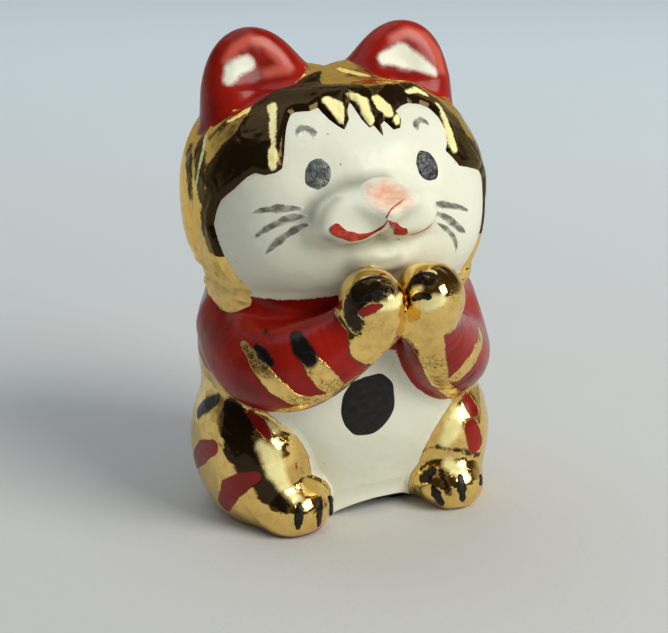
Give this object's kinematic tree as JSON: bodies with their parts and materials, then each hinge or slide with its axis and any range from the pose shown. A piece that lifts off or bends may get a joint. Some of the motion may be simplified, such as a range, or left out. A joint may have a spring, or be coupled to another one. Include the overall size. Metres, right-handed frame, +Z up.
{
  "type": "beckoning cat figurine",
  "caption": "Miniature hollow porcelain cat that sits with both forepaws held together under its chin, painted white, red and gold; stands on an open flat base.",
  "frame": {"origin": "middle of the footprint of the figure's box, on the table", "axes": "+Z up; the cat looks along -Y; +X is the cat's left"},
  "size_m": [0.022, 0.025, 0.0343],
  "materials": {
    "white_porcelain": "glossy clear glaze over white porcelain",
    "red_enamel": "glossy brushed overglaze enamel",
    "gold_lustre": "fired gold lustre over glaze, mirror bright with a fine crinkle",
    "black_enamel": "raised satin enamel",
    "grey_enamel": "raised satin enamel",
    "coral_enamel": "glossy brushed overglaze enamel"
  },
  "bodies": {
    "root": {"body_shell": "white_porcelain", "head_shell": "white_porcelain", "gold_hood": "gold_lustre", "left_ear": "red_enamel", "right_ear": "red_enamel", "left_foreleg": "red_enamel", "right_foreleg": "red_enamel", "left_forepaw": "gold_lustre", "right_forepaw": "gold_lustre", "left_haunch": "gold_lustre", "right_haunch": "gold_lustre", "left_hind_foot": "gold_lustre", "right_hind_foot": "gold_lustre", "bobtail": "gold_lustre", "left_eye": "black_enamel", "right_eye": "black_enamel", "left_brow": "grey_enamel", "right_brow": "grey_enamel", "nose_enamel": "coral_enamel", "mouth_line": "red_enamel", "left_whiskers": "grey_enamel", "right_whiskers": "grey_enamel", "belly_spot": "black_enamel", "left_paw_claw_lines": "black_enamel", "right_paw_claw_lines": "black_enamel", "left_foot_claw_lines": "black_enamel", "right_foot_claw_lines": "black_enamel"}
  },
  "joints": []
}
